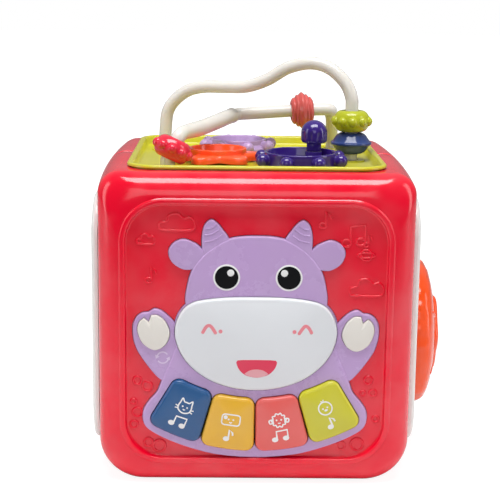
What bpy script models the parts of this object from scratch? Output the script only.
"""Baby activity cube: a battery-powered play cube with an animal keyboard on the front, a bead maze and
three gears on top, a turning dial on the right and a play clock on the left.

+X is the cube's right, -Y is its front and +Z is up. The origin is the middle of the resting face.
Every size below is in millimetres and becomes metres when a mesh is made.
"""

import math

import bmesh
import bpy
from mathutils import Matrix, Vector

MM = 0.001
GAP = 0.3                   # clearance between neighbouring pieces

# Housing
HALF_WIDTH = 99.6           # half width of the front face's edge
BULGE = 2.4                 # extra half width at mid-depth
TOP_Z = 200.6
TOP_BULGE = 0.6
FACE_Y = 99.2               # front and rear faces
EDGE_RADIUS = 15.0          # rounding between the sides and the front or rear face
TOP_RADIUS = 14.0
BOTTOM_RADIUS = 28.0
WALL = 3.0
MID_Z = 100.1               # centre of the front and side features
SEAM_Y = 3.0                # where the front and rear shells meet

# Front and rear fields
RIM_HALF = 85.0
RIM_WIDTH = 3.6
RIM_RADIUS = 27.0
RIM_Y = 100.2
FIELD_Y = 96.0
FIELD_BACK_Y = 93.0

# Cow face insert and its buttons
INSERT_Y = 99.0
FLANGE_Y = 92.6
FLANGE_BACK_Y = 90.6
BUTTON_FLANGE_Y = 90.2
BUTTON_BACK_Y = 88.8
MUZZLE_Y = 104.0
HOOF_Y = 101.0
KEY_Y = 103.4
FAN_CENTRE_Z = 155.5
FAN_INNER = 97.0
FAN_OUTER = 132.0
KEY_ANGLE = math.radians(15.6)
KEY_GAP = 0.45

# Electronics behind the insert
MAT_Y = 84.6
BOARD_Y = 82.0
BOARD_BACK_Y = 80.4

# Side panels
PANEL_HALF_Y = 80.0
PANEL_HALF_Z = 82.0
PANEL_RADIUS = 26.0
PANEL_X = 109.0
WINDOW_HALF_Y = 74.0
WINDOW_HALF_Z = 72.0

# Dial on the right and clock on the left
DIAL_Z = 78.0
DIAL_RADIUS = 51.0
DIAL_SEAT_X = 105.4
CLOCK_Z = 104.0
CLOCK_RADIUS = 38.0
CLOCK_SEAT_X = 104.4

# Tray on top
LIP_UNDER_Z = TOP_Z + TOP_BULGE + GAP
TRAY_HALF = 82.7
TRAY_RADIUS = 20.0
TRAY_TOP_Z = 203.7
TRAY_INNER_HALF = 78.5
TRAY_FLOOR_Z = 197.2
TRAY_WALL_HALF = 80.4
TRAY_UNDER_Z = 194.6
FOOT_TOP_Z = 198.2
POST_TOP_Z = 200.6

# Gears: plan centre, height of the ring's top and number of teeth
PURPLE_AT = (29.3, -37.5)
ORANGE_AT = (-25.6, -13.0)
LAVENDER_AT = (-11.6, 41.0)
PURPLE_TOP_Z = 207.6
ORANGE_TOP_Z = 206.6
LAVENDER_TOP_Z = 206.6
PURPLE_TEETH = 8
ORANGE_TEETH = 6
LAVENDER_TEETH = 8
PURPLE_PHASE = math.radians(22.5)
GEAR_UNDER_Z = 198.3
BOWL_Z = 201.0
SKIRT_TOP_Z = 203.4
GEAR_PLACES = (PURPLE_AT, ORANGE_AT, LAVENDER_AT)
KNOB_AT = (PURPLE_AT[0] + 9.2, PURPLE_AT[1] + 13.6)
KNOB_PAD_RADIUS = 5.8
KNOB_PAD_Z = 206.4

# Bead maze
TUBE_RADIUS = 4.4
SLEEVE_RADIUS = 4.6         # the low tube's left half, which the right half plugs into
TUBE_END_Z = 192.0
TUBE_FEET = ((-63.4, 45.0), (65.0, -4.0), (-57.4, -48.4), (56.8, 60.0))
COLLAR = 22                 # the low path's point where the sleeve ends
LOW_RUN_START = (-5.0, 38.0, 224.4)
LOW_RUN_END = (48.0, 41.0, 227.6)
BEAD_BORE = 5.8
BLUE_BEAD_Z = 209.4
LIME_BEAD_Z = 224.4
CORAL_BEAD_X = 33.6
RED_BEAD_AT = (-54.4, -47.0, 209.3)
RED_BEAD_AXIS = (0.42, 0.14, 0.90)

# Power: three AA cells behind the rear door
CELL_RADIUS = 7.1
CELL_LENGTH = 49.0
CELL_PITCH = 15.4
BATTERY_Z = 62.0
DOOR_HALF_X = 31.0
DOOR_HALF_Z = 38.0
SPEAKER_Z = 140.0
SPEAKER_RADIUS = 20.0
SWITCH_X = 50.0
SWITCH_Z = 140.0
CELL_Y = FIELD_BACK_Y - 11.0
DOOR_SCREW_Z = BATTERY_Z + DOOR_HALF_Z - 4.5
SCREW_PLACES = ((-72, 28), (72, 28), (-72, 172), (72, 172))

STEPS = 4                   # segments in a quarter turn of a rounded corner
ROUND = 16                  # segments in a bore or an axle
COARSE = 8                  # segments in a screw or a post
SCREW_DEPTH = 14.0          # how far a housing screw reaches into the front shell's post
POST_END_Y = 91.0

COLOURS = {
    "red": (0.80, 0.03, 0.05, 1), "white": (0.86, 0.85, 0.83, 1), "lavender": (0.50, 0.34, 0.62, 1),
    "muzzle": (0.80, 0.81, 0.84, 1), "blue": (0.03, 0.09, 0.26, 1), "yellow": (0.75, 0.46, 0.07, 1),
    "coral": (0.72, 0.14, 0.13, 1), "lime": (0.50, 0.52, 0.03, 1), "purple": (0.06, 0.02, 0.25, 1),
    "orange": (0.90, 0.13, 0.05, 1), "rubber": (0.30, 0.30, 0.32, 1), "board": (0.02, 0.20, 0.07, 1),
    "black": (0.02, 0.02, 0.02, 1), "steel": (0.60, 0.60, 0.62, 1), "cell": (0.10, 0.25, 0.12, 1),
}
METALS = {"steel"}
SOFT_FINISH = {"rubber", "board", "black"}


# ---------------------------------------------------------------- scene and materials

def clear_scene():
    for obj in list(bpy.data.objects):
        bpy.data.objects.remove(obj, do_unlink=True)


def material(name):
    existing = bpy.data.materials.get(name)
    if existing:
        return existing
    made = bpy.data.materials.new(name)
    made.use_nodes = True
    shader = made.node_tree.nodes["Principled BSDF"]
    shader.inputs["Base Color"].default_value = COLOURS[name]
    shader.inputs["Roughness"].default_value = 0.6 if name in SOFT_FINISH else 0.25
    shader.inputs["Metallic"].default_value = 1.0 if name in METALS else 0.0
    return made


def finish_object(name, bm, colour, origin=(0, 0, 0)):
    """Turns a bmesh in millimetres into a named object whose origin is at the given point."""
    bmesh.ops.remove_doubles(bm, verts=bm.verts, dist=0.0005)
    bmesh.ops.recalc_face_normals(bm, faces=bm.faces)
    bmesh.ops.translate(bm, verts=bm.verts, vec=-Vector(origin))
    bmesh.ops.scale(bm, verts=bm.verts, vec=(MM, MM, MM))
    mesh = bpy.data.meshes.new(name)
    bm.to_mesh(mesh)
    bm.free()
    mesh.shade_smooth()
    mesh.set_sharp_from_angle(angle=math.radians(35))
    obj = bpy.data.objects.new(name, mesh)
    obj.location = Vector(origin) * MM
    obj.data.materials.append(material(colour))
    bpy.context.scene.collection.objects.link(obj)
    return obj


def combine(obj, other, operation):
    """Applies one exact Boolean to obj and removes the helper."""
    modifier = obj.modifiers.new(operation, "BOOLEAN")
    modifier.operation = operation
    modifier.solver = "EXACT"
    modifier.object = other
    bpy.context.view_layer.update()
    evaluated = obj.evaluated_get(bpy.context.evaluated_depsgraph_get())
    result = bpy.data.meshes.new_from_object(evaluated)
    obj.modifiers.clear()
    old = obj.data
    obj.data = result
    bpy.data.meshes.remove(old)
    bpy.data.objects.remove(other, do_unlink=True)
    obj.data.shade_smooth()
    obj.data.set_sharp_from_angle(angle=math.radians(35))
    return obj


def cut(obj, *tools):
    for tool in tools:
        combine(obj, tool, "DIFFERENCE")
    return obj


def join(obj, *others):
    for other in others:
        combine(obj, other, "UNION")
    return obj


def attach(child, parent):
    """Parents a piece to the one that carries it, leaving it where it is."""
    bpy.context.view_layer.update()
    child.parent = parent
    child.matrix_parent_inverse = parent.matrix_world.inverted()


# ---------------------------------------------------------------- outlines (lists of 2-D points)

def rounded_rectangle(half_u, half_v, radius, steps=STEPS, lower_radius=None):
    """Points of a rounded rectangle about (0, 0); the lower corners may have their own radius."""
    lower = radius if lower_radius is None else lower_radius
    corners = ((1, 1, 0, radius), (-1, 1, 90, radius), (-1, -1, 180, lower), (1, -1, 270, lower))
    points = []
    for side_u, side_v, start, r in corners:
        for i in range(steps + 1):
            angle = math.radians(start + 90 * i / steps)
            points.append((side_u * (half_u - r) + r * math.cos(angle),
                           side_v * (half_v - r) + r * math.sin(angle)))
    return points


def circle(radius, steps=ROUND, phase=0.0):
    turn = 2 * math.pi / steps
    return [(radius * math.cos(phase + turn * i), radius * math.sin(phase + turn * i)) for i in range(steps)]


def smooth_closed(points, steps):
    """A Catmull-Rom curve through the points, closed on itself."""
    count = len(points)
    curve = []
    for i in range(count):
        p0, p1, p2, p3 = (Vector(points[(i + k) % count]) for k in (-1, 0, 1, 2))
        curve += [tuple(catmull_rom(p0, p1, p2, p3, s / steps)) for s in range(steps)]
    return curve


def smooth_open(points, steps):
    """A Catmull-Rom curve through the points from the first to the last."""
    ends = [Vector(points[0]) * 2 - Vector(points[1])]
    ends += [Vector(p) for p in points]
    ends += [Vector(points[-1]) * 2 - Vector(points[-2])]
    curve = []
    for i in range(1, len(ends) - 2):
        for s in range(steps):
            curve.append(catmull_rom(ends[i - 1], ends[i], ends[i + 1], ends[i + 2], s / steps))
    return curve + [ends[-2]]


def catmull_rom(p0, p1, p2, p3, t):
    return 0.5 * (2 * p1 + (p2 - p0) * t + (2 * p0 - 5 * p1 + 4 * p2 - p3) * t ** 2
                  + (3 * p1 - p0 - 3 * p2 + p3) * t ** 3)


def grown(points, distance):
    """The outline moved outwards by a small distance along its corner normals."""
    area = sum(a[0] * b[1] - b[0] * a[1] for a, b in zip(points, points[1:] + points[:1]))
    side = 1 if area > 0 else -1
    moved = []
    for i, point in enumerate(points):
        before, here, after = Vector(points[i - 1]), Vector(point), Vector(points[(i + 1) % len(points)])
        first, second = (here - before).normalized(), (after - here).normalized()
        normal = Vector((first.y + second.y, -first.x - second.x)) * side
        length = max(normal.length, 0.6)
        moved.append(tuple(here + normal / length * distance * 2 / length))
    return moved


def mirrored(points):
    return [(-u, v) for u, v in reversed(points)]


def symmetric(right_half):
    """A closed outline from its right half, which runs from the top middle to the bottom middle."""
    left_half = [(-u, v) for u, v in reversed(right_half[1:-1])]
    return right_half + left_half


def rounded_polygon(corners, radius, steps=2):
    """A convex polygon with its corners rounded by arcs."""
    points = []
    count = len(corners)
    for i in range(count):
        before, here, after = (Vector(corners[(i + k) % count]) for k in (-1, 0, 1))
        to_before, to_after = (before - here).normalized(), (after - here).normalized()
        half_angle = to_before.angle(to_after) / 2
        centre = here + (to_before + to_after).normalized() * radius / math.sin(half_angle)
        start = here + to_before * radius / math.tan(half_angle) - centre
        end = here + to_after * radius / math.tan(half_angle) - centre
        for s in range(steps + 1):
            points.append(tuple(centre + start.slerp(end, s / steps).normalized() * radius))
    return points


def head_outline(steps=1):
    right = [(0, 162.4), (10, 162.0), (18, 160.3), (26, 155.8), (33.2, 150), (40.2, 140.6), (43.4, 129.5),
             (44.2, 119), (40, 104), (22, 96), (0, 94)]
    return smooth_closed(symmetric(right), steps)


def ear_outline(steps=1):
    right = [(29, 147), (35.5, 155.4), (41, 158.7), (46.4, 160), (52.2, 157.2), (54.9, 151.8), (52.8, 145.6),
             (47.4, 141.5), (42.5, 140.6), (35, 142.4)]
    return smooth_closed(right, steps)


def horn_outline(steps=1):
    right = [(16.8, 158), (21.8, 166.8), (26.2, 171.5), (29.4, 172.2), (33, 168), (34.3, 159), (32.6, 149),
             (24, 150)]
    return smooth_closed(right, steps)


def arm_outline(steps=1):
    right = [(50.5, 105.5), (54.4, 110.4), (59, 114.2), (63.4, 115.6), (67.2, 113.5), (71.4, 112.8), (75.3, 109.6),
             (77.3, 103.6), (76.4, 94), (72, 84.4), (60.2, 69.8), (48, 66), (42, 78), (46, 94)]
    return smooth_closed(right, steps)


def belly_outline(steps=1):
    right = [(0, 92), (30, 92), (47.6, 93.6), (53.6, 82), (58.8, 70), (62, 61.8), (66.8, 56), (70.4, 50.4),
             (71.2, 44.6), (69.6, 39.2), (64.6, 34.8), (53.8, 29.3), (39, 23.9), (23, 20.1), (0, 18.3)]
    return smooth_closed(symmetric(right), steps)


def muzzle_outline(steps=1):
    right = [(0, 123.9), (19, 123.5), (34.8, 121.6), (42, 118.9), (46.4, 114.8), (49.4, 109), (50.8, 101.8),
             (49.9, 94.5), (47.2, 87.6), (42.6, 80.8), (35.8, 74.4), (27, 69.1), (17, 65.6), (8, 64), (0, 63.6)]
    return smooth_closed(symmetric(right), steps)


def hoof_outline(steps=1):
    """A round hoof with one sharp notch at its upper outer edge."""
    notch = (67.0, 107.3)
    around = [(65.6, 111.6), (61, 111.4), (56.2, 106.8), (54, 99.6), (57, 92.4), (63.6, 89.3), (70.8, 93.6),
              (74.1, 101.4), (73.2, 107), (70.2, 110)]
    return [notch] + [tuple(p) for p in smooth_open([Vector(p) for p in around], steps)]


def key_outline(index, gap=KEY_GAP):
    """One key of the fan, 0 to 3 from left to right."""
    first = (index - 2) * KEY_ANGLE
    inset = gap / FAN_OUTER
    corners = []
    for radius, angle in ((FAN_INNER, first + inset), (FAN_INNER, first + KEY_ANGLE - inset),
                          (FAN_OUTER, first + KEY_ANGLE - inset), (FAN_OUTER, first + inset)):
        corners.append((radius * math.sin(angle), FAN_CENTRE_Z - radius * math.cos(angle)))
    return rounded_polygon(corners, 5.6)


# ---------------------------------------------------------------- solids (bmeshes in millimetres)

def loft(rings):
    """A closed solid through rings that all have the same number of points."""
    bm = bmesh.new()
    loops = [[bm.verts.new(p) for p in ring] for ring in rings]
    for lower, upper in zip(loops, loops[1:]):
        count = len(lower)
        for i in range(count):
            j = (i + 1) % count
            bm.faces.new((lower[i], lower[j], upper[j], upper[i]))
    bm.faces.new(loops[0])
    bm.faces.new(list(reversed(loops[-1])))
    return bm


def on_front(outline, y):
    """An outline given as (x, z), placed at depth y."""
    return [(u, y, v) for u, v in outline]


def on_side(outline, x, centre_z):
    return [(x, u, v + centre_z) for u, v in outline]


def on_plan(outline, z, at=(0, 0)):
    return [(at[0] + u, at[1] + v, z) for u, v in outline]


def front_prism(outline, y_front, y_back):
    return loft([on_front(outline, y_front), on_front(outline, y_back)])


def side_prism(outline, x_low, x_high, centre_z):
    return loft([on_side(outline, x_low, centre_z), on_side(outline, x_high, centre_z)])


def plan_prism(outline, z_low, z_high, at=(0, 0)):
    return loft([on_plan(outline, z_low, at), on_plan(outline, z_high, at)])


def block(low, high):
    corners = [(low[0], low[1]), (high[0], low[1]), (high[0], high[1]), (low[0], high[1])]
    return plan_prism(corners, low[2], high[2])


def turned(profile, steps=ROUND, bore=0.0):
    """A solid of revolution about +Z. The profile lists (radius, height) from the bottom to the top."""
    bm = bmesh.new()
    loops = []
    for radius, height in profile:
        if radius < 1e-6:
            loops.append([bm.verts.new((0, 0, height))])
        else:
            loops.append([bm.verts.new((x, y, height)) for x, y in circle(radius, steps)])
    if bore:
        loops.append([bm.verts.new((x, y, profile[-1][1])) for x, y in circle(bore, steps)])
        loops.append([bm.verts.new((x, y, profile[0][1])) for x, y in circle(bore, steps)])
        loops.append(loops[0])
    for lower, upper in zip(loops, loops[1:]):
        for i in range(steps):
            j = (i + 1) % steps
            quad = [lower[i % len(lower)], lower[j % len(lower)], upper[j % len(upper)], upper[i % len(upper)]]
            corners = [v for k, v in enumerate(quad) if v not in quad[:k]]
            if len(corners) > 2:
                bm.faces.new(corners)
    if not bore:
        for loop in (loops[0], loops[-1]):
            if len(loop) > 1:
                bm.faces.new(loop)
    return bm


def aimed(bm, at, axis):
    """Turns a bmesh built about +Z so that it points along axis, and moves it to a point."""
    turn = Vector((0, 0, 1)).rotation_difference(Vector(axis).normalized()).to_matrix().to_4x4()
    bmesh.ops.transform(bm, matrix=Matrix.Translation(Vector(at)) @ turn, verts=bm.verts)
    return bm


def swept(points, radius, steps=8):
    """A round rod along a path of points."""
    path = [Vector(p) for p in points]
    side = Vector((0, 1, 0))
    rings = []
    for i, point in enumerate(path):
        forward = (path[min(i + 1, len(path) - 1)] - path[max(i - 1, 0)]).normalized()
        side = (side - forward * side.dot(forward)).normalized()
        up = forward.cross(side)
        rings.append([point + side * u + up * v for u, v in circle(radius, steps)])
    return loft(rings)


# ---------------------------------------------------------------- housing

def body_section(y, inset):
    """The housing's outline at depth y, moved inwards by inset; its corners open out towards the rim's."""
    swell = 1 - min(abs(y) / (FACE_Y - EDGE_RADIUS), 1) ** 2
    half = HALF_WIDTH + BULGE * swell - inset
    top = TOP_Z + TOP_BULGE * swell - inset
    middle = (top + inset) / 2
    toward_rim = max(inset, 0) / EDGE_RADIUS
    upper = TOP_RADIUS + (RIM_RADIUS - TOP_RADIUS) * toward_rim
    lower = BOTTOM_RADIUS + (RIM_RADIUS - BOTTOM_RADIUS) * toward_rim
    outline = rounded_rectangle(half, (top - inset) / 2, upper, lower_radius=lower)
    return [(u, y, v + middle) for u, v in outline]


def half_body(side, offset, y_face, y_end):
    """Half of the housing's envelope, moved inwards by offset: side -1 is the front, +1 the rear."""
    radius = EDGE_RADIUS - offset
    rings = []
    for i in range(STEPS):
        angle = math.radians(90 * i / (STEPS - 1))
        depth = y_face - radius * (1 - math.cos(angle))
        rings.append(body_section(side * depth, offset + radius * (1 - math.sin(angle))))
    straight = y_face - radius
    for i in (1, 2):
        rings.append(body_section(side * (straight + (y_end - straight) * i / 2), offset))
    return loft(rings)


def field_prism(half, radius, y_front, y_back):
    outline = [(u, v + MID_Z) for u, v in rounded_rectangle(half, half, radius)]
    return front_prism(outline, y_front, y_back)


def half_shell(name, side):
    """A red half shell: rounded wall, raised rim and recessed field, with side windows and a top opening."""
    shell = finish_object(name, half_body(side, 0, FACE_Y, side * SEAM_Y + GAP / 2), "red")
    join(shell, finish_object("rim", field_prism(RIM_HALF, RIM_RADIUS, side * RIM_Y, side * (FACE_Y - 2)), "red"))
    inner = RIM_HALF - RIM_WIDTH
    cut(shell,
        finish_object("field", field_prism(inner, RIM_RADIUS - RIM_WIDTH, side * (RIM_Y + 2), side * FIELD_Y), "red"),
        finish_object("hollow", half_body(side, WALL, FIELD_BACK_Y, -SEAM_Y - 3), "red"))
    window = rounded_rectangle(WINDOW_HALF_Y, WINDOW_HALF_Z, 20)
    top = rounded_rectangle(TRAY_WALL_HALF + GAP, TRAY_WALL_HALF + GAP, TRAY_RADIUS - 2)
    cut(shell,
        finish_object("windows", side_prism(window, -120, 120, MID_Z), "red"),
        finish_object("top", plan_prism(top, TOP_Z - 12, TOP_Z + 12), "red"))
    return shell


def front_shell():
    shell = half_shell("front_shell", -1)
    for outline in insert_outlines():
        cut(shell, finish_object("opening", front_prism(grown(outline, GAP), -RIM_Y - 2, -FIELD_BACK_Y + 2), "red"))
    for x, z in SCREW_PLACES:
        post = turned([(5.0, -FIELD_BACK_Y - 1), (3.8, POST_END_Y)], COARSE)
        join(shell, finish_object("screw_post", aimed(post, (x, 0, z), (0, 1, 0)), "red"))
        pilot = turned([(1.9, POST_END_Y - SCREW_DEPTH), (1.9, POST_END_Y + 2)], COARSE)
        cut(shell, finish_object("screw_pilot", aimed(pilot, (x, 0, z), (0, 1, 0)), "red"))
    return shell


def rear_shell():
    """The rear shell adds a battery opening, a speaker grille, a switch slot and four screw holes."""
    shell = half_shell("rear_shell", 1)
    door = [(u, v + BATTERY_Z) for u, v in rounded_rectangle(DOOR_HALF_X + GAP, DOOR_HALF_Z + GAP, 5)]
    cut(shell, finish_object("battery_opening", front_prism(door, FIELD_BACK_Y - 2, FACE_Y), "red"))
    for row in range(-2, 3):
        width = math.sqrt(18.0 ** 2 - (row * 6.0) ** 2)
        slot = [(u, v + SPEAKER_Z + row * 6.0) for u, v in rounded_rectangle(width, 1.3, 1.2, steps=2)]
        cut(shell, finish_object("grille_slot", front_prism(slot, FIELD_BACK_Y - 2, FACE_Y), "red"))
    track = [(u + SWITCH_X, v + SWITCH_Z) for u, v in rounded_rectangle(3.2, 9.2, 2, steps=2)]
    cut(shell, finish_object("switch_slot", front_prism(track, FIELD_BACK_Y - 2, FACE_Y), "red"))
    for x, z in SCREW_PLACES:
        hole = aimed(turned([(2.0, FIELD_BACK_Y - 2), (2.0, FACE_Y)], COARSE), (x, 0, z), (0, 1, 0))
        cut(shell, finish_object("screw_hole", hole, "red"))
    return shell


# ---------------------------------------------------------------- front insert, keys and buttons

def insert_outlines():
    """The overlapping shapes whose union is the visible cow."""
    return [head_outline(), ear_outline(), mirrored(ear_outline()), horn_outline(), mirrored(horn_outline()),
            grown(muzzle_outline(), 0.9), arm_outline(), mirrored(arm_outline()), belly_outline()]


def cow_face_panel():
    """A flange plate behind the red wall, carrying the raised cow; openings let the buttons through."""
    plate = [(u, v + 95.5) for u, v in rounded_rectangle(79.5, 80.5, 48)]
    panel = finish_object("cow_face_panel", front_prism(plate, -FLANGE_Y, -FLANGE_BACK_Y), "lavender")
    for outline in insert_outlines():
        join(panel, finish_object("raised", front_prism(outline, -INSERT_Y, -FLANGE_Y + 0.5), "lavender"))
    openings = [grown(muzzle_outline(), 0.35), grown(hoof_outline(), 0.35), grown(mirrored(hoof_outline()), 0.35)]
    openings += [grown(key_outline(index), 0.6) for index in range(4)]
    for outline in openings:
        cut(panel, finish_object("opening", front_prism(outline, -INSERT_Y - 2, -FLANGE_BACK_Y + 2), "lavender"))
    return panel


def cap(name, outline, y_front, colour, flange=1.6, edge=1.2):
    """A push button: a cap with an eased front edge and a retaining flange behind the panel."""
    wide = grown(outline, flange)
    rings = [on_front(grown(outline, -edge), -y_front),
             on_front(grown(outline, -edge * 0.3), -y_front + edge * 0.3),
             on_front(outline, -y_front + edge),
             on_front(outline, -BUTTON_FLANGE_Y),
             on_front(wide, -BUTTON_FLANGE_Y + 0.01),
             on_front(wide, -BUTTON_BACK_Y)]
    return finish_object(name, loft(rings), colour, origin=centre_of(outline, -BUTTON_BACK_Y))


def centre_of(outline, y):
    count = len(outline)
    return (sum(u for u, _ in outline) / count, y, sum(v for _, v in outline) / count)


def key(name, index, colour):
    """A piano key: its flange reaches past the opening at the inner and outer ends only."""
    outline = key_outline(index)
    middle = Vector(((0, FAN_CENTRE_Z)))
    flange = []
    for u, v in outline:
        from_centre = Vector((u, v)) - middle
        outwards = 1 if from_centre.length > (FAN_INNER + FAN_OUTER) / 2 else -1
        flange.append(tuple(middle + from_centre * (1 + outwards * 2.2 / from_centre.length)))
    rings = [on_front(grown(outline, -1.4), -KEY_Y), on_front(grown(outline, -0.4), -KEY_Y + 0.4),
             on_front(outline, -KEY_Y + 1.4), on_front(outline, -BUTTON_FLANGE_Y),
             on_front(flange, -BUTTON_FLANGE_Y + 0.01), on_front(flange, -BUTTON_BACK_Y)]
    return finish_object(name, loft(rings), colour, origin=centre_of(outline, -BUTTON_BACK_Y))


def button_centres():
    keys = [centre_of(key_outline(i), 0) for i in range(4)]
    hoof = centre_of(hoof_outline(), 0)
    pads = [(0, 0, 92), hoof, (-hoof[0], 0, hoof[2])]
    return [(x, z) for x, _, z in keys + pads]


def rubber_dome_mat():
    """One silicone sheet with a dome behind each key and pad, drawn at the height they have when pressed."""
    sheet = [(u, v + 72) for u, v in rounded_rectangle(70.5, 46, 6, steps=2, lower_radius=36)]
    mat = finish_object("rubber_dome_mat", front_prism(sheet, -MAT_Y + 0.8, -MAT_Y + 1.8), "rubber")
    for x, z in button_centres():
        dome = aimed(turned([(4.5, -1.0), (2.6, 1.1)], COARSE), (x, -MAT_Y + 0.3, z), (0, -1, 0))
        join(mat, finish_object("dome", dome, "rubber"))
    return mat


def circuit_board():
    sheet = [(u, v + 72) for u, v in rounded_rectangle(70.5, 46, 6, steps=2, lower_radius=36)]
    board = finish_object("circuit_board", front_prism(sheet, -BOARD_Y, -BOARD_BACK_Y), "board")
    chips = (((-20, -10, 50), (2, 2, 68)), ((16, -10, 84), (28, 1.4, 92)), ((30, -10, 50), (38, 4, 58)))
    for low, high in chips:
        body = block((low[0], -BOARD_BACK_Y - 0.2, low[2]), (high[0], -BOARD_BACK_Y + high[1], high[2]))
        join(board, finish_object("chip", body, "board"))
    return board


# ---------------------------------------------------------------- side panels, dial and clock

def panel_rings(side):
    """Rings of the domed panel, from behind its rim to the crown."""
    levels = ((0, 98), (0, 102.2), (2, 104), (12, 105.7), (36, 107.7), (66, PANEL_X))
    rings = []
    for inset, x in levels:
        radius = max(PANEL_RADIUS - inset, 8)
        outline = rounded_rectangle(PANEL_HALF_Y - inset, PANEL_HALF_Z - inset, radius)
        rings.append(on_side(outline, side * x, MID_Z))
    return rings


def side_panel(name, side):
    """A white panel that hugs the housing, with a plug that fills the window."""
    panel = finish_object(name, loft(panel_rings(side)), "white")
    for end in (-1, 1):
        cut(panel, finish_object("housing", half_body(end, -GAP, FACE_Y, -1), "white"))
    plug = rounded_rectangle(WINDOW_HALF_Y - GAP, WINDOW_HALF_Z - GAP, 20)
    join(panel, finish_object("plug", side_prism(plug, side * 97.2, side * 103, MID_Z), "white"))
    return panel


def dial_seat():
    seat = side_panel("right_side_panel", 1)
    pocket = aimed(turned([(DIAL_RADIUS + 0.9, DIAL_SEAT_X), (DIAL_RADIUS + 0.9, 115)], 32), (0, 0, DIAL_Z), (1, 0, 0))
    bore = aimed(turned([(6.25, 90), (6.25, 115)], ROUND), (0, 0, DIAL_Z), (1, 0, 0))
    return cut(seat, finish_object("pocket", pocket, "white"), finish_object("bore", bore, "white"))


def clock_seat():
    seat = side_panel("left_side_panel", -1)
    pocket = aimed(turned([(CLOCK_RADIUS, CLOCK_SEAT_X), (CLOCK_RADIUS, 115)], 24), (0, 0, CLOCK_Z), (-1, 0, 0))
    bore = aimed(turned([(2.6, 90), (2.6, 115)], COARSE), (0, 0, CLOCK_Z), (-1, 0, 0))
    return cut(seat, finish_object("pocket", pocket, "white"), finish_object("bore", bore, "white"))


def side_dial():
    """A domed wheel with a raised, six-lobed grip, on an axle that passes through the panel."""
    profile = [(6.0, 91.8), (6.0, 105.9), (50.4, 105.92), (51, 108), (50.8, 114.2), (47.6, 118.4), (40, 121.6),
               (30, 123.4), (0, 123.6)]
    wheel = finish_object("side_dial", aimed(turned(profile, 24), (0, 0, DIAL_Z), (1, 0, 0)), "orange",
                          origin=(105.9, 0, DIAL_Z))
    rings = []
    for scale, x in ((1.0, 122), (1.0, 125.2), (0.9, 126.8), (0.4, 127.8)):
        outline = []
        for i in range(18):
            angle = 2 * math.pi * i / 18
            radius = scale * (27.2 + 1.8 * math.cos(6 * angle))
            outline.append((radius * math.cos(angle), radius * math.sin(angle)))
        rings.append(on_side(outline, x, DIAL_Z))
    join(wheel, finish_object("grip", loft(rings), "orange"))
    pilot = aimed(turned([(1.5, 80), (1.5, 103)], COARSE), (0, 0, DIAL_Z), (1, 0, 0))
    return cut(wheel, finish_object("pilot", pilot, "orange"))


def dial_screw():
    """A washer-head screw that keeps the dial on the panel."""
    profile = [(7.0, 89.0), (9.2, 89.6), (9.2, 91.45), (1.2, 91.47), (1.2, 101)]
    return finish_object("dial_screw", aimed(turned(profile, 12), (0, 0, DIAL_Z), (1, 0, 0)), "steel")


def clock_disc(name, radius, x_low, x_high, bore, colour):
    disc = turned([(radius, x_low), (radius, x_high)], 24 if radius > 10 else ROUND, bore)
    return finish_object(name, aimed(disc, (0, 0, CLOCK_Z), (-1, 0, 0)), colour, origin=(-x_low, 0, CLOCK_Z))


def clock_hand(name, reach, width, x_low, x_high, turn, colour):
    """A pointed hand with a round boss, turned clockwise from twelve as seen from outside."""
    boss = clock_disc(name, 5.0, x_low, x_high, 2.6, colour)
    outline = [(-width, 4), (-width, reach - 7), (-width - 2.2, reach - 7), (0, reach), (width + 2.2, reach - 7),
               (width, reach - 7), (width, 4)]
    turned_outline = []
    for u, v in outline:
        turned_outline.append((-(u * math.cos(turn) + v * math.sin(turn)),
                               v * math.cos(turn) - u * math.sin(turn)))
    return join(boss, finish_object("pointer", side_prism(turned_outline, -x_low, -x_high, CLOCK_Z), colour))


def clock_pin():
    """The pin both hands turn on, with a button head."""
    profile = [(2.3, 95.0), (2.3, 109.2), (4.4, 109.22), (4.2, 110.2), (0, 110.8)]
    return finish_object("clock_pin", aimed(turned(profile, 16), (0, 0, CLOCK_Z), (-1, 0, 0)), "yellow")


# ---------------------------------------------------------------- tray, gears and maze

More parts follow.
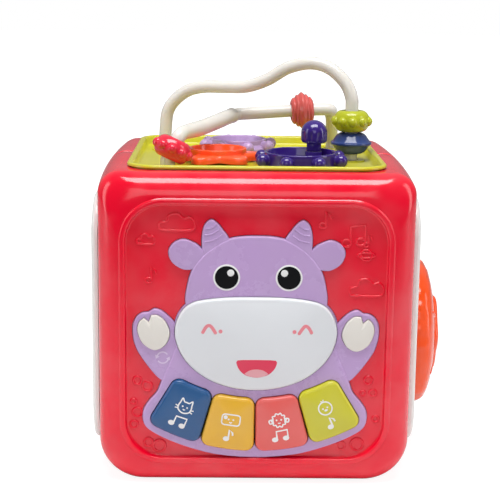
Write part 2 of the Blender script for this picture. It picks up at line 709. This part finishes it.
def top_tray():
    """A lime tray with a rounded lip, gear posts and tube sockets."""
    square = rounded_rectangle
    rings = [on_plan(square(TRAY_WALL_HALF, TRAY_WALL_HALF, 18), TRAY_UNDER_Z),
             on_plan(square(TRAY_WALL_HALF, TRAY_WALL_HALF, 18), LIP_UNDER_Z),
             on_plan(square(TRAY_HALF, TRAY_HALF, TRAY_RADIUS), LIP_UNDER_Z + 0.05),
             on_plan(square(TRAY_HALF, TRAY_HALF, TRAY_RADIUS), TRAY_TOP_Z - 1.2),
             on_plan(square(TRAY_HALF - 1.2, TRAY_HALF - 1.2, TRAY_RADIUS - 1.2), TRAY_TOP_Z),
             on_plan(square(TRAY_INNER_HALF + 0.8, TRAY_INNER_HALF + 0.8, 16.8), TRAY_TOP_Z),
             on_plan(square(TRAY_INNER_HALF, TRAY_INNER_HALF, 16), TRAY_TOP_Z - 0.8),
             on_plan(square(TRAY_INNER_HALF - 1, TRAY_INNER_HALF - 1, 15), TRAY_FLOOR_Z)]
    tray = finish_object("top_tray", loft(rings), "lime")
    for at in GEAR_PLACES:
        post = [(9.0, TRAY_FLOOR_Z - 1), (9.0, FOOT_TOP_Z - 0.4), (5.0, FOOT_TOP_Z - 0.38), (5.0, POST_TOP_Z)]
        join(tray, finish_object("post", aimed(turned(post, 12), (*at, 0), (0, 0, 1)), "lime"))
        pilot = aimed(turned([(1.5, TRAY_UNDER_Z + 1.5), (1.5, POST_TOP_Z + 2)], COARSE), (*at, 0), (0, 0, 1))
        cut(tray, finish_object("pilot", pilot, "lime"))
    for at in TUBE_FEET:
        boss = [(7.2, TUBE_END_Z - 1.8), (7.2, TRAY_FLOOR_Z - 1)]
        join(tray, finish_object("socket", aimed(turned(boss, 12), (*at, 0), (0, 0, 1)), "lime"))
        bore = aimed(turned([(SLEEVE_RADIUS + 0.5, TUBE_END_Z), (SLEEVE_RADIUS + 0.5, 210)], 12), (*at, 0), (0, 0, 1))
        hole = aimed(turned([(1.6, TUBE_END_Z - 4), (1.6, TUBE_END_Z + 2)], COARSE), (*at, 0), (0, 0, 1))
        cut(tray, finish_object("bore", bore, "lime"), finish_object("hole", hole, "lime"))
    return tray


def gear_body(name, at, ring_radius, opening, top_z, colour, skirt=None, foot_radius=0):
    """A gear's open bowl, with a hub that turns on the tray's post; skirt is the outline of a lobed rim."""
    foot = [(foot_radius, GEAR_UNDER_Z), (foot_radius, GEAR_UNDER_Z + 2.4), (ring_radius, GEAR_UNDER_Z + 4.6)]
    profile = foot if foot_radius else [(ring_radius, GEAR_UNDER_Z)]
    profile += [(ring_radius, top_z - 0.8), (ring_radius - 0.5, top_z)]
    blank = aimed(turned(profile, 24), (*at, 0), (0, 0, 1))
    gear = finish_object(name, blank, colour, origin=(*at, GEAR_UNDER_Z))
    if skirt:
        rings = [on_plan(skirt, GEAR_UNDER_Z, at), on_plan(skirt, SKIRT_TOP_Z - 1.2, at),
                 on_plan(grown(skirt, -1.4), SKIRT_TOP_Z, at)]
        join(gear, finish_object("skirt", loft(rings), colour))
    bowl = [(opening - 1.4, BOWL_Z), (opening + 0.3, top_z), (opening + 0.3, top_z + 5)]
    bowl = finish_object("bowl", aimed(turned(bowl, 24), (*at, 0), (0, 0, 1)), colour)
    hub = aimed(turned([(5.25, 190), (5.25, 215)]), (*at, 0), (0, 0, 1))
    return cut(gear, bowl, finish_object("hub_bore", hub, colour))


def ball_gear(name, at, ring_radius, opening, top_z, teeth, phase, pitch, ball, colour, foot_radius=0):
    gear = gear_body(name, at, ring_radius, opening, top_z, colour, foot_radius=foot_radius)
    for i in range(teeth):
        angle = phase + 2 * math.pi * i / teeth
        place = (at[0] + pitch * math.cos(angle), at[1] + pitch * math.sin(angle), GEAR_UNDER_Z + ball)
        join(gear, finish_object("tooth", aimed(ball_shape(ball, 9), place, (0, 0, 1)), colour))
    return gear


def ball_shape(radius, steps):
    """A coarse ball about the origin."""
    levels = [(math.cos(math.radians(a)) * radius, math.sin(math.radians(a)) * radius) for a in (-50, 0, 50)]
    return turned([(0, -radius)] + levels + [(0, radius)], steps)


def lobed_outline(root, tip, teeth, phase, steps=42):
    """A wavy gear rim whose lobes point along the phase angle."""
    points = []
    for i in range(steps):
        angle = 2 * math.pi * i / steps
        radius = (root + tip) / 2 + (tip - root) / 2 * math.cos(teeth * (angle - phase))
        points.append((radius * math.cos(angle), radius * math.sin(angle)))
    return points


def meshing_phase(at, phase, teeth, other_at, other_teeth):
    """The phase that puts the second gear's gap opposite the first gear's tooth."""
    line = math.atan2(other_at[1] - at[1], other_at[0] - at[0])
    nearest = round((line - phase) / (2 * math.pi / teeth)) * 2 * math.pi / teeth + phase
    return line + math.pi + math.pi / other_teeth - (nearest - line) * teeth / other_teeth


def purple_gear():
    gear = ball_gear("purple_gear", PURPLE_AT, 24.2, 22.0, PURPLE_TOP_Z, PURPLE_TEETH, PURPLE_PHASE, 27.6, 4.4,
                     "purple")
    pad = turned([(KNOB_PAD_RADIUS, BOWL_Z - 1), (KNOB_PAD_RADIUS, KNOB_PAD_Z)])
    return join(gear, finish_object("pad", aimed(pad, (*KNOB_AT, 0), (0, 0, 1)), "purple"))


def orange_gear():
    phase = meshing_phase(PURPLE_AT, PURPLE_PHASE, PURPLE_TEETH, ORANGE_AT, ORANGE_TEETH)
    skirt = lobed_outline(20.8, 31.2, ORANGE_TEETH, phase)
    return gear_body("orange_gear", ORANGE_AT, 19.4, 17.2, ORANGE_TOP_Z, "orange", skirt)


def lavender_gear():
    phase = meshing_phase(PURPLE_AT, PURPLE_PHASE, PURPLE_TEETH, ORANGE_AT, ORANGE_TEETH)
    phase = meshing_phase(ORANGE_AT, phase, ORANGE_TEETH, LAVENDER_AT, LAVENDER_TEETH)
    return ball_gear("lavender_gear", LAVENDER_AT, 20.0, 17.8, LAVENDER_TOP_Z, LAVENDER_TEETH, phase, 24.4, 4.0,
                     "lavender", foot_radius=22.8)


def gear_screw(name, at):
    """A wide-headed screw in the tray's post; its head holds the gear down."""
    profile = [(1.2, TRAY_UNDER_Z + 2.5), (1.2, POST_TOP_Z + 0.3), (4.4, POST_TOP_Z + 0.3), (4.6, BOWL_Z + GAP),
               (7.0, BOWL_Z + GAP + 0.02), (6.8, BOWL_Z + 1.2), (0, BOWL_Z + 2.2)]
    return finish_object(name, aimed(turned(profile, 12), (*at, 0), (0, 0, 1)), "steel")


def gear_crank_knob():
    """A mushroom knob standing on the purple gear's pad, to turn it by."""
    profile = [(4.9, KNOB_PAD_Z + GAP), (4.9, 211.4), (8.8, 212.2), (8.8, 218.2), (6.8, 224.2), (0, 226.8)]
    return finish_object("gear_crank_knob", aimed(turned(profile), (*KNOB_AT, 0), (0, 0, 1)), "purple")


def tall_tube_path(steps=2):
    """From the rear left foot up, over a dip and a hump, and straight down to the front right foot."""
    left, right = Vector((*TUBE_FEET[0], 0)), Vector((*TUBE_FEET[1], 0))
    across = ((0.0, TUBE_END_Z + GAP), (0.0, 212), (0.02, 227), (0.1, 238.2), (0.2, 243.0), (0.34, 243.8),
              (0.45, 244.8), (0.56, 250.2), (0.665, 258.6), (0.784, 262.3), (0.882, 259.2), (0.962, 250),
              (0.996, 240.5), (1.0, 233), (1.0, 212), (1.0, TUBE_END_Z + GAP))
    return smooth_open([left.lerp(right, s) + Vector((0, 0, z)) for s, z in across], steps)


def low_tube_path(steps=2):
    """From the front left foot back to a bend, straight to the right, and down to the rear right foot."""
    front, rear = TUBE_FEET[2], TUBE_FEET[3]
    bead_at, bead_axis = Vector(RED_BEAD_AT), Vector(RED_BEAD_AXIS).normalized()
    stretch = [bead_at + bead_axis * reach for reach in (-7.5, 0, 7.5)]
    points = [(*front, TUBE_END_Z + GAP), (*front, 198.4), *stretch, (-48.6, -41.6, 219), (-44.2, -31, 219.4),
              (-36.9, -12, 219.4), (-25.4, 14, 221.4), (-18.2, 30, 222.9), (-12.6, 36.4, 223.8), LOW_RUN_START,
              LOW_RUN_END, (54.6, 45.6, 223.6), (56.2, 54.6, 211.6), (*rear, 203.5), (*rear, 199),
              (*rear, TUBE_END_Z + GAP)]
    return smooth_open([Vector(p) for p in points], steps)


def maze_tube(name, path):
    return finish_object(name, swept(path, TUBE_RADIUS), "white")


def low_maze_tube():
    """Two lengths in one: a wider sleeve up to the bend, and a thinner rod that plugs into it."""
    path = low_tube_path()
    tube = finish_object("low_maze_tube", swept(path[:COLLAR + 1], SLEEVE_RADIUS), "white")
    return join(tube, finish_object("rod", swept(path[COLLAR - 1:], TUBE_RADIUS), "white"))


def tube_screw(name, at):
    """A screw that holds a tube's end from under the tray."""
    under = TUBE_END_Z - 1.8
    profile = [(4.4, under - 2.2), (4.4, under - GAP), (1.2, under - GAP + 0.02), (1.2, TUBE_END_Z)]
    return finish_object(name, aimed(turned(profile, COARSE), (*at, 0), (0, 0, 1)), "steel")


def bead(name, profile, at, axis, colour, steps=12):
    bm = turned(profile, steps, BEAD_BORE)
    return finish_object(name, aimed(bm, at, axis), colour, origin=at)


def bumpy_bead(name, at, axis, colour):
    """A lens-shaped bead with six round bumps about its waist."""
    profile = [(7.0, -7.2), (11.0, -4.8), (12.6, 0), (11.0, 4.8), (7.0, 7.2)]
    made = bead(name, profile, at, axis, colour)
    turn = Vector((0, 0, 1)).rotation_difference(Vector(axis).normalized())
    for i in range(6):
        angle = math.pi * i / 3 + 0.3
        place = Vector(at) + turn @ Vector((10.7 * math.cos(angle), 10.7 * math.sin(angle), 0))
        join(made, finish_object("bump", aimed(ball_shape(3.7, 8), place, axis), colour))
    return made


# ---------------------------------------------------------------- power and sound

def battery_box():
    """An open box behind the rear wall that holds three cells side by side."""
    width = 1.5 * CELL_PITCH + 2.4
    height = CELL_LENGTH / 2 + 7.5
    back, front = FIELD_BACK_Y - GAP, FIELD_BACK_Y - 21
    box = finish_object("battery_box", block((-width, front, BATTERY_Z - height), (width, back, BATTERY_Z + height)),
                        "black")
    inside = block((-width + 1.8, front + 1.8, BATTERY_Z - height + 1.8),
                   (width - 1.8, back + 5, BATTERY_Z + height - 1.8))
    cut(box, finish_object("inside", inside, "black"))
    boss = block((-4.5, back - 10, BATTERY_Z + height - 1), (4.5, back, DOOR_SCREW_Z + 4))
    pilot = aimed(turned([(1.9, back - 8), (1.9, back + 4)], COARSE), (0, 0, DOOR_SCREW_Z), (0, 1, 0))
    join(box, finish_object("boss", boss, "black"))
    return cut(box, finish_object("pilot", pilot, "black"))


def battery_cell(name, index, up):
    """An AA cell, standing with its button up or down."""
    half = CELL_LENGTH / 2
    profile = [(CELL_RADIUS, -half), (CELL_RADIUS, half - 1.6), (2.8, half - 1.2), (2.8, half)]
    at = ((index - 1) * CELL_PITCH, CELL_Y, BATTERY_Z + 1.2 * up)
    return finish_object(name, aimed(turned(profile, 12), at, (0, 0, up)), "cell")


def contact_spring(name, index, up):
    """A coil spring that presses on a cell's flat end."""
    x = (index - 1) * CELL_PITCH
    z = BATTERY_Z + 1.2 * up - up * (CELL_LENGTH / 2 + 0.8)
    points = []
    for i in range(15):
        angle = 2 * math.pi * i / 7
        radius = 4.6 - 1.6 * (1 - i / 14)
        points.append((x + radius * math.cos(angle), CELL_Y + radius * math.sin(angle), z - up * 4.4 * i / 14))
    return finish_object(name, swept(points, 0.4, 4), "steel")


def battery_door():
    """A door set flush in the recessed rear wall, with a tongue below and a screw hole above."""
    plate = [(u, v + BATTERY_Z) for u, v in rounded_rectangle(DOOR_HALF_X, DOOR_HALF_Z, 5)]
    door = finish_object("battery_door", front_prism(plate, FIELD_BACK_Y + 0.4, FIELD_Y), "red")
    foot = BATTERY_Z - DOOR_HALF_Z
    tongue = block((-8, FIELD_BACK_Y - 2.4, foot - 4), (8, FIELD_BACK_Y - GAP, foot + 4))
    neck = block((-8, FIELD_BACK_Y - 1, foot + 0.4), (8, FIELD_BACK_Y + 1, foot + 3.6))
    join(door, finish_object("neck", neck, "red"), finish_object("tongue", tongue, "red"))
    hole = aimed(turned([(1.9, 90), (1.9, 98)], COARSE), (0, 0, DOOR_SCREW_Z), (0, 1, 0))
    return cut(door, finish_object("hole", hole, "red"))


def wall_screw(name, x, z, y_head, length):
    """A pan-head screw that enters the rear wall from outside."""
    profile = [(1.4, y_head - length), (1.4, y_head), (3.1, y_head + 0.02), (3.1, y_head + 1.2), (0, y_head + 1.8)]
    return finish_object(name, aimed(turned(profile, COARSE), (x, 0, z), (0, 1, 0)), "steel")


def speaker():
    """A shallow round loudspeaker behind the grille: rim, basket and magnet."""
    profile = [(9.0, 76.0), (9.0, 80.4), (18.0, 87.0), (SPEAKER_RADIUS, 88.6), (SPEAKER_RADIUS, FIELD_BACK_Y - GAP),
               (16.5, FIELD_BACK_Y - GAP), (7.0, 88.4)]
    return finish_object("speaker", aimed(turned(profile, ROUND), (0, 0, SPEAKER_Z), (0, 1, 0)), "black")


def power_switch_knob():
    """A sliding cap in the rear wall's slot, on a wider carrier behind the wall."""
    carrier = [(u + SWITCH_X, v + SWITCH_Z - 4) for u, v in rounded_rectangle(5.4, 6.4, 1, steps=2)]
    stem = [(u + SWITCH_X, v + SWITCH_Z - 4) for u, v in rounded_rectangle(2.8, 4.8, 1.4, steps=2)]
    knob = finish_object("power_switch_knob", front_prism(carrier, 90.4, FIELD_BACK_Y - GAP), "white",
                         origin=(SWITCH_X, 90.4, SWITCH_Z - 4))
    return join(knob, finish_object("stem", front_prism(stem, 91.5, FIELD_Y + 2.4), "white"))


def lead(name, points, colour):
    return finish_object(name, swept(smooth_open([Vector(p) for p in points], 3), 0.9, 5), colour)


# ---------------------------------------------------------------- assembly


def build_housing():
    front_shell()
    rear_shell()
    dial_seat()
    clock_seat()
    top_tray()
    for number, (x, z) in enumerate(SCREW_PLACES, 1):
        wall_screw(f"housing_screw_{number}", x, z, FIELD_Y + GAP, 14)


def build_front():
    cow_face_panel()
    cap("drum_pad", muzzle_outline(), MUZZLE_Y, "muzzle", edge=3.0)
    cap("right_hoof_button", hoof_outline(), HOOF_Y, "white", flange=0.8, edge=0.8)
    cap("left_hoof_button", mirrored(hoof_outline()), HOOF_Y, "white", flange=0.8, edge=0.8)
    for index, colour in enumerate(("blue", "yellow", "coral", "lime")):
        key(f"{colour}_key", index, colour)
    rubber_dome_mat()
    circuit_board()


def build_sides():
    attach(dial_screw(), side_dial())
    clock_disc("clock_face", CLOCK_RADIUS - GAP, CLOCK_SEAT_X + GAP, CLOCK_SEAT_X + 1.6, 2.6, "yellow")
    clock_hand("hour_hand", 21, 2.4, 106.4, 107.5, math.radians(300), "blue")
    clock_hand("minute_hand", 31, 1.8, 107.8, 108.9, math.radians(50), "coral")
    clock_pin()


def build_top():
    attach(gear_crank_knob(), purple_gear())
    orange_gear()
    lavender_gear()
    for colour, at in zip(("purple", "orange", "lavender"), GEAR_PLACES):
        gear_screw(f"{colour}_gear_screw", at)
    maze_tube("tall_maze_tube", tall_tube_path())
    low_maze_tube()
    for number, at in enumerate(TUBE_FEET, 1):
        tube_screw(f"tube_screw_{number}", at)
    right = TUBE_FEET[1]
    cone = [(6.6, -7.2), (9.2, -6.4), (12.4, -1.5), (14.0, 0), (12.4, 1.5), (9.2, 6.4), (6.6, 7.2)]
    bead("blue_bead", cone, (*right, BLUE_BEAD_Z), (0, 0, 1), "blue")
    bumpy_bead("lime_bead", (*right, LIME_BEAD_Z), (0, 0, 1), "lime")
    run = Vector(LOW_RUN_END) - Vector(LOW_RUN_START)
    along = (CORAL_BEAD_X - LOW_RUN_START[0]) / run.x
    ridged = [(6.6, -7.9), (7.8, -6.9), (9.6, -4.9), (11.6, -3.2), (12.9, 0), (11.6, 3.2), (9.6, 4.9), (7.8, 6.9),
              (6.6, 7.9)]
    bead("coral_bead", ridged, tuple(Vector(LOW_RUN_START) + run * along), run, "coral")
    bumpy_bead("red_bead", RED_BEAD_AT, RED_BEAD_AXIS, "red")


def build_power():
    battery_box()
    for index in range(3):
        up = 1 if index % 2 == 0 else -1
        battery_cell(f"battery_cell_{index + 1}", index, up)
        contact_spring(f"contact_spring_{index + 1}", index, up)
    battery_door()
    wall_screw("battery_door_screw", 0, DOOR_SCREW_Z, FIELD_Y + GAP, 9.0)
    speaker()
    power_switch_knob()
    lead("battery_lead", [(18, 71.0, 96.5), (18, 60, 98), (10, 0, 104), (4, -60, 96), (-9, -77.6, 80)], "black")
    lead("speaker_lead", [(0, 74.4, 142), (0, 60, 150), (30, 0, 140), (34, -60, 110), (22, -78.4, 96)], "coral")


clear_scene()
build_housing()
build_front()
build_sides()
build_top()
build_power()
